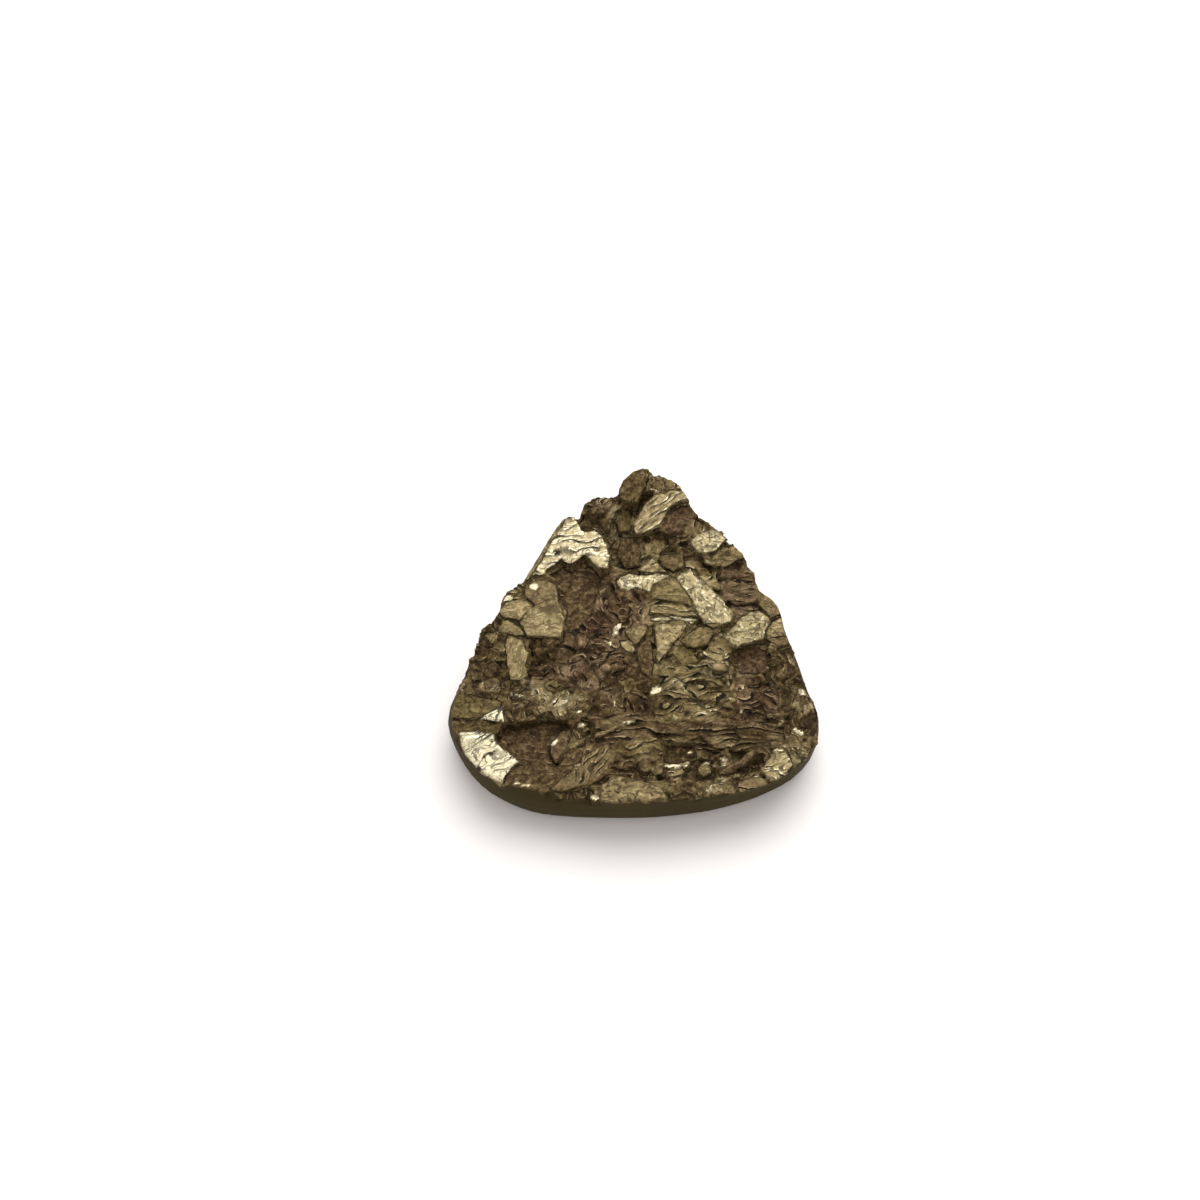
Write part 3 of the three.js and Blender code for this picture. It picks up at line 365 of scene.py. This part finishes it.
lift = np.zeros(count)
grooves = {name: np.zeros(count) for name in ("scales", "small_scales", "ink", "rough", "crack_ink")}
grooves["crack"] = np.ones(count)
top = np.clip((ways[:, 2] - 0.15) / 0.3, 0, 1)
for i in np.flatnonzero((points[:, 2] > 4.1) | (ways[:, 2] > 0.6)):
    p = Vector(points[i])
    pitch, length, swirl, ink, deep, rough, plate, stretch, step, tilt, turning, split = MARKS[mark[i]]
    turn = lie[i]
    if plate:
        spot = Vector((p.x / stretch, p.y, p.z)) / plate + noise.noise_vector(p * (0.7 / plate)) * 0.25
        gaps, homes = noise.voronoi(spot)
        home = homes[0]
        lean = Vector((dice(home, 1) - 0.5, dice(home, 2) - 0.5, 0)) * 2 * tilt
        luck = dice(home, 4)
        turn += turning * (dice(home, 6) - 0.5)
        crack = (gaps[1] - gaps[0]) * plate
        grooves["crack"][i] = crack
        open_crack = split * min(1.0, max(0.0, 0.1 + 2.2 * noise.noise(p * 0.9)))
        grooves["crack_ink"][i] = open_crack
        lift[i] = (dice(home, 3) - 0.5) * step + lean.dot(spot - home) * plate
        lift[i] -= 0.1 * open_crack * max(0.0, 1 - crack / 0.15)
        metal[i] += (luck - 0.5) * 0.2 + 0.35 * noise.noise(p * 0.6) - 0.05
        red[i] += (dice(home, 5) - 0.5) * 0.4
        if mark[i] == "sparkle":
            metal[i] += -0.1 if luck < 0.7 else 0.1 + luck - 0.7
    u = (p.x * math.cos(turn) + p.y * math.sin(turn)) / pitch
    v = (p.y * math.cos(turn) - p.x * math.sin(turn) + 0.4 * p.z) / pitch
    scales = v + swirl * noise.noise(Vector((u / length, v * 0.8, 5)))
    small = 1.9 * v + 1.3 * swirl * noise.noise(Vector((2.2 * u / length, v * 1.5, 9)))
    gaps_in_lines = noise.noise(Vector((u * 1.2 / length, v * 1.4, 2)))
    fade = min(1.0, max(0.0, (0.9 if mark[i] in ("leather", "shelf") else 0.62) + 1.8 * gaps_in_lines))
    saw = scales - math.floor(scales)
    slope = 0.5 - saw if saw < 0.78 else 0.5 - saw + (saw - 0.78) / 0.22
    grooves["scales"][i] = scales
    grooves["small_scales"][i] = small
    grooves["ink"][i] = ink * fade * min(1.0, border[i] / 0.3)
    grooves["rough"][i] = rough
    crumbs = noise.noise(Vector((1.3 * u, 2.1 * v, 7))) + 0.5 * noise.noise(p * 4.5)
    lift[i] += (0.012 + 0.03 * rough) * noise.noise(p * 2.3) + 0.05 * rough * crumbs + deep * fade * slope
lift -= 0.03 * np.clip(1 - np.abs(seam) / 0.12, 0, 1) * top
edge_ends = np.empty(len(fine.edges) * 2, dtype=np.int32)
fine.edges.foreach_get("vertices", edge_ends)
edge_ends = edge_ends.reshape(-1, 2)
neighbours = np.bincount(edge_ends.ravel(), minlength=count).clip(1)


def blurred(values):
    """The mean of a value over each point's neighbours."""
    total = np.bincount(edge_ends[:, 0], values[edge_ends[:, 1]], count)
    total += np.bincount(edge_ends[:, 1], values[edge_ends[:, 0]], count)
    return total / neighbours


lift = 0.5 * (lift + blurred(lift))

# Nothing is cut into the ground wall, and nothing stands out past the solid.
on_top = np.clip((points[:, 2] - 3.9) / 0.5, 0, 1)
lift *= np.where(ways[:, 2] > 0.5, 1.0, on_top)
steep = np.clip((0.5 - ways[:, 2]) / 0.4, 0, 1)
lift = np.where(lift > 0, lift * (1 - 0.9 * steep), lift)
moved = points + ways * lift[:, None]
low_mm, high_mm = (np.array(corner) * 1000 for corner in cad_box)
moved = np.clip(moved, low_mm, high_mm)

# How deep each point lies under its neighbours: crevices are darkened with painted shade, and edges are
# rubbed bright.
level = moved.copy()
for _ in range(3):
    level = np.stack([blurred(level[:, axis]) for axis in range(3)], axis=1)
depth = ((level - moved) * ways).sum(axis=1)

chipped = np.array([noise.noise(Vector((p[0], p[1], 0.4 * p[2])) * 0.9) for p in points])
wall = np.where(ways[:, 2] < 0.45, 1.0, 0.0) * np.clip((4.9 + 0.9 * chipped - points[:, 2]) / 0.25, 0, 1)
wall = np.maximum(wall, np.clip((3.2 - points[:, 2]) / 0.3, 0, 1))
# Painted shade: each crevice is darkened by how deep it lies under its neighbours, where shade would fall;
# none on the ground wall.
crevice_shade = np.clip((depth - 0.04) / 0.16, 0, 1) * 0.4 * (1 - wall)
rubbed = np.clip(-depth / 0.12, 0, 1) * (1 - wall)

moved += ways * np.minimum(depth + 0.1, 0)[:, None] * 0.7
fine.vertices.foreach_set("co", (moved * MM).ravel())
metal = np.clip(np.where(ways[:, 2] < 0.4, 0.1 + 0.4 * metal, metal), 0, 1) * (1 - wall)
grooves["ink"] *= 1 - wall
grooves["rough"] *= 1 - wall
grooves["crack_ink"] *= 1 - wall
seam = np.where(top * (1 - wall) > 0.5, seam, 1.0)
fields = {"seam": seam, "metal": metal, "red": red, "crevice_shade": crevice_shade, "rubbed": rubbed, "wall": wall, **grooves}
for name, values in fields.items():
    layer = fine.attributes.new(name, "FLOAT", "POINT")
    layer.data.foreach_set("value", values.astype(np.float32))
fine.update()
for face in fine.polygons:
    face.use_smooth = True


def linear(hex_colour):
    """An sRGB colour written as RRGGBB, as the linear colour that a shader takes."""
    parts = [int(hex_colour[i : i + 2], 16) / 255 for i in (0, 2, 4)]
    return [c / 12.92 if c <= 0.04045 else ((c + 0.055) / 1.055) ** 2.4 for c in parts] + [1]


def add_node(tree, kind, settings=None, inputs=None):
    """One shader node, with its settings, and its inputs given as values or as other nodes' outputs."""
    node = tree.nodes.new(kind)
    for name, value in (settings or {}).items():
        setattr(node, name, value)
    for name, value in (inputs or {}).items():
        if isinstance(value, bpy.types.NodeSocket):
            tree.links.new(value, node.inputs[name])
        else:
            node.inputs[name].default_value = value
    return node


# Pyrite, natural: a pale brass metal where its faces are clean, under a brown to olive tarnish elsewhere,
# and a dull dark brown where it was ground with a coarse wheel.
pyrite = bpy.data.materials.new("natural_pyrite")
pyrite.use_nodes = True
tree = pyrite.node_tree
tree.nodes.clear()
place = add_node(tree, "ShaderNodeTexCoord").outputs["Object"]
value = {}
for name in fields:
    value[name] = add_node(tree, "ShaderNodeAttribute", {"attribute_name": name}).outputs["Fac"]

# Four sizes of unevenness: the size in millimetres, the detail, its strength and how far it is stirred
for name, size, detail, strength, stirred in (
    ("speckle", 0.35, 3.0, 0.65, 0.0),
    ("cloud", 2.6, 3.0, 0.6, 0.0),
    ("crumbs", 0.5, 3.0, 0.6, 0.9),
    ("specks", 0.3, 2.0, 0.6, 0.6),
):
    value[name] = add_node(tree, "ShaderNodeTexNoise", None, {
        "Vector": place, "Scale": 1 / (size * MM), "Detail": detail, "Roughness": strength,
        "Distortion": stirred}).outputs["Fac"]

spread = add_node(tree, "ShaderNodeMapRange", None, {
    "Value": value["speckle"], "From Min": 0.3, "From Max": 0.7, "To Min": -0.15, "To Max": 0.15})
jagged = add_node(tree, "ShaderNodeMapRange", None, {
    "Value": value["crumbs"], "From Min": 0.0, "From Max": 1.0, "To Min": -0.3, "To Max": 0.3})
value["spread"] = spread.outputs["Result"]
# How far along its scale each point lies, from 0 to 1
for name in ("scales", "small_scales"):
    wavy = add_node(tree, "ShaderNodeMath", None, {0: value[name], 1: jagged.outputs["Result"]}).outputs[0]
    value[name + "_saw"] = add_node(tree, "ShaderNodeMath", {"operation": "FRACT"}, {0: wavy}).outputs[0]
value["from_seam"] = add_node(
    tree, "ShaderNodeMath", {"operation": "ABSOLUTE", "use_clamp": True}, {0: value["seam"]}).outputs[0]

# Smooth steps: what each follows, where it starts and ends, and its values there
for name, followed, start, end, first, last in (
    # The dark line under each scale's front edge is painted shadow of its step as well as a groove.
    ("under_step", "scales_saw", 0.62, 0.76, 0.0, 1.0),
    ("small_under_step", "small_scales_saw", 0.7, 0.84, 0.0, 1.0),
    ("crack_step", "crack", 0.06, 0.16, 1.0, 0.0),
    # The lip behind each line is a painted highlight.
    ("lip_step", "scales_saw", 0.05, 0.28, 1.0, 0.0),
    ("small_lip_step", "small_scales_saw", 0.02, 0.4, 1.0, 0.0),
    # The hollows of the crumbs get painted shade and their peaks a painted highlight, following the crumb
    # bump.
    ("hollow_step", "crumbs", 0.38, 0.46, 1.0, 0.0),
    ("peak_step", "crumbs", 0.54, 0.68, 0.0, 1.0),
    ("speck_step", "specks", 0.28, 0.34, 0.75, 0.0),
    ("edge_step", "from_seam", 0.015, 0.075, 0.95, 0.0),
    ("uneven_step", "cloud", 0.42, 0.55, 0.25, 1.0),
):
    value[name] = add_node(tree, "ShaderNodeMapRange", {"interpolation_type": "SMOOTHSTEP"}, {
        "Value": value[followed], "From Min": start, "From Max": end, "To Min": first, "To Max": last,
    }).outputs["Result"]

# The dark lines, pits and edges, the bright lips and peaks, and what they leave of the clean metal. The lines
# under the scales' front edges carry painted shadow, the hollows of the crumbs painted shade, and the lips
# and peaks are painted highlights.
for name, operation, a, b in (
    ("small_ink", "MULTIPLY", "ink", 0.7),
    ("faint_ink", "MULTIPLY", "ink", 0.35),
    # painted shadow under the scales' front edges, along with the grooves
    ("under", "MULTIPLY", "under_step", "ink"),
    ("small_under", "MULTIPLY", "small_under_step", "small_ink"),
    ("scale_lines", "MAXIMUM", "under", "small_under"),
    ("cracked", "MULTIPLY", "crack_step", "crack_ink"),
    ("edges", "MULTIPLY", "edge_step", "uneven_step"),
    ("breaks", "MAXIMUM", "cracked", "edges"),
    # dark pits, and painted shade in the crumb bump's hollows
    ("hollow", "MULTIPLY", "hollow_step", "rough"),
    ("dark_hollow", "MULTIPLY", "hollow", 0.95),
    ("natural", "SUBTRACT", 1.0, "wall"),
    ("specked", "MULTIPLY", "speck_step", "natural"),
    ("pits", "MAXIMUM", "dark_hollow", "specked"),
    ("breaks_and_pits", "MAXIMUM", "breaks", "pits"),
    ("lines", "MAXIMUM", "scale_lines", "breaks_and_pits"),
    ("unclean", "SUBTRACT", 1.2, "metal"),
    ("rocky", "MULTIPLY", "rough", "unclean"),
    # painted highlights on the crumbs' peaks
    ("peaks", "MULTIPLY", "peak_step", "rocky"),
    # painted highlights on the lips behind the lines
    ("lips", "MULTIPLY", "lip_step", "ink"),
    ("small_lips", "MULTIPLY", "small_lip_step", "faint_ink"),
    ("all_lips", "MAXIMUM", "lips", "small_lips"),
    ("bright", "MAXIMUM", "all_lips", "peaks"),
    ("bright_share", "MULTIPLY", "bright", 0.42),
    ("rubbed_share", "MULTIPLY", "rubbed", 0.1),
    ("speckled", "ADD", "metal", "spread"),
    ("speckled_and_rubbed", "ADD", "speckled", "rubbed_share"),
    ("cleanness", "ADD", "speckled_and_rubbed", "bright_share"),
    ("redder", "SUBTRACT", "cloud", 0.5),
    ("tint", "ADD", "red", "redder"),
    # painted crevice shade and the dark lines darken the colour together
    ("crevice_shade_share", "MULTIPLY", "crevice_shade", 0.85),
    ("line_share", "MULTIPLY", "lines", 0.95),
    ("lines_and_shade", "MAXIMUM", "crevice_shade_share", "line_share"),
    ("clear_of_lines_and_shade", "SUBTRACT", 1.0, "lines_and_shade"),
):
    value[name] = add_node(tree, "ShaderNodeMath", {"operation": operation, "use_clamp": True}, {
        0: value.get(a, a), 1: value.get(b, b)}).outputs[0]

# From the darkest tarnish to clean metal, in an olive and in a brown range
tarnishes = []
for stops in (
    ((0.0, "352C17"), (0.12, "54472A"), (0.35, "766844"), (0.6, "8E805A"), (0.85, "A69A76"), (1.0, "D6CDAD")),
    ((0.0, "3A2B1D"), (0.12, "58432E"), (0.35, "79664E"), (0.6, "907C5C"), (0.85, "A89876"), (1.0, "D6CAAB")),
):
    ramp_node = add_node(tree, "ShaderNodeValToRGB", None, {"Fac": value["cleanness"]})
    stop_list = ramp_node.color_ramp.elements
    while len(stop_list) < len(stops):
        stop_list.new(0.5)
    for stop, (position, hex_colour) in zip(stop_list, stops):
        stop.position = position
        stop.color = linear(hex_colour)
    tarnishes.append(ramp_node.outputs["Color"])
body = add_node(tree, "ShaderNodeMix", {"data_type": "RGBA"}, {
    0: value["tint"], 6: tarnishes[0], 7: tarnishes[1]})
# Painted shade and dark lines: the colour goes to near black in crevices and along the lines.
body_with_lines_and_shade = add_node(tree, "ShaderNodeMix", {"data_type": "RGBA"}, {
    0: value["lines_and_shade"], 6: body.outputs[2], 7: linear("130D07")})
ground = add_node(tree, "ShaderNodeMix", {"data_type": "RGBA"}, {
    0: value["cloud"], 6: linear("40371D"), 7: linear("322A15")})
colour = add_node(tree, "ShaderNodeMix", {"data_type": "RGBA"}, {
    0: value["wall"], 6: body_with_lines_and_shade.outputs[2], 7: ground.outputs[2]})

shine = add_node(tree, "ShaderNodeMapRange", None, {
    "Value": value["cleanness"], "From Min": 0.0, "From Max": 0.9, "To Min": 0.03, "To Max": 0.85})
# The metal is dimmed too, under the painted shade and the dark lines.
bare_shine = add_node(tree, "ShaderNodeMath", {"operation": "MULTIPLY", "use_clamp": True}, {
    0: shine.outputs["Result"], 1: value["clear_of_lines_and_shade"]})
dull = add_node(tree, "ShaderNodeMapRange", None, {
    "Value": value["cleanness"], "From Min": 0.1, "From Max": 0.9, "To Min": 0.65, "To Max": 0.46})
grain_bump = add_node(tree, "ShaderNodeBump", None, {
    "Height": value["speckle"], "Strength": value["rough"], "Distance": 0.05 * MM})
groove_bump = add_node(tree, "ShaderNodeBump", {"invert": True}, {
    "Height": value["lines"], "Strength": 0.9, "Distance": 0.12 * MM, "Normal": grain_bump.outputs["Normal"]})
crumb_bump = add_node(tree, "ShaderNodeBump", None, {
    "Height": value["crumbs"], "Strength": value["rocky"], "Distance": 0.2 * MM,
    "Normal": groove_bump.outputs["Normal"]})
surface = add_node(tree, "ShaderNodeBsdfPrincipled", None, {
    "Base Color": colour.outputs[2], "Metallic": bare_shine.outputs[0], "Roughness": dull.outputs["Result"],
    "Normal": crumb_bump.outputs["Normal"], "Specular IOR Level": 0.05})
add_node(tree, "ShaderNodeOutputMaterial", None, {"Surface": surface.outputs["BSDF"]})
stone.data.materials.clear()
stone.data.materials.append(pyrite)

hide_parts("pyrite")
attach(stone, "root")

# The floor: a plain white matt board, wide enough to fill every view.
floor_shape = bmesh.new()
bmesh.ops.create_grid(floor_shape, x_segments=1, y_segments=1, size=2.0)
floor_mesh = bpy.data.meshes.new("floor")
floor_shape.to_mesh(floor_mesh)
floor_shape.free()
floor = bpy.data.objects.new("floor", floor_mesh)
bpy.context.scene.collection.objects.link(floor)
board = bpy.data.materials.new("white_board")
board.use_nodes = True
board.node_tree.nodes["Principled BSDF"].inputs["Base Color"].default_value = linear("F4F1EF")
board.node_tree.nodes["Principled BSDF"].inputs["Roughness"].default_value = 0.8
floor_mesh.materials.append(board)

# The light: a big soft window at the back left, and a pale room round it.
world = bpy.data.worlds.new("room")
world.use_nodes = True
world.node_tree.nodes["Background"].inputs["Color"].default_value = linear("FFFBF8")
world.node_tree.nodes["Background"].inputs["Strength"].default_value = 0.8
bpy.context.scene.world = world
window_data = bpy.data.lights.new("window", "AREA")
window_data.shape = "DISK"
window_data.size = 600 * MM
window_data.energy = 2.8
window = bpy.data.objects.new("window", window_data)
window.location = Vector((70, 290, 400)) * MM
window.rotation_euler = (-window.location).to_track_quat("-Z", "Y").to_euler()
bpy.context.scene.collection.objects.link(window)
bpy.context.scene.view_settings.view_transform = "Standard"
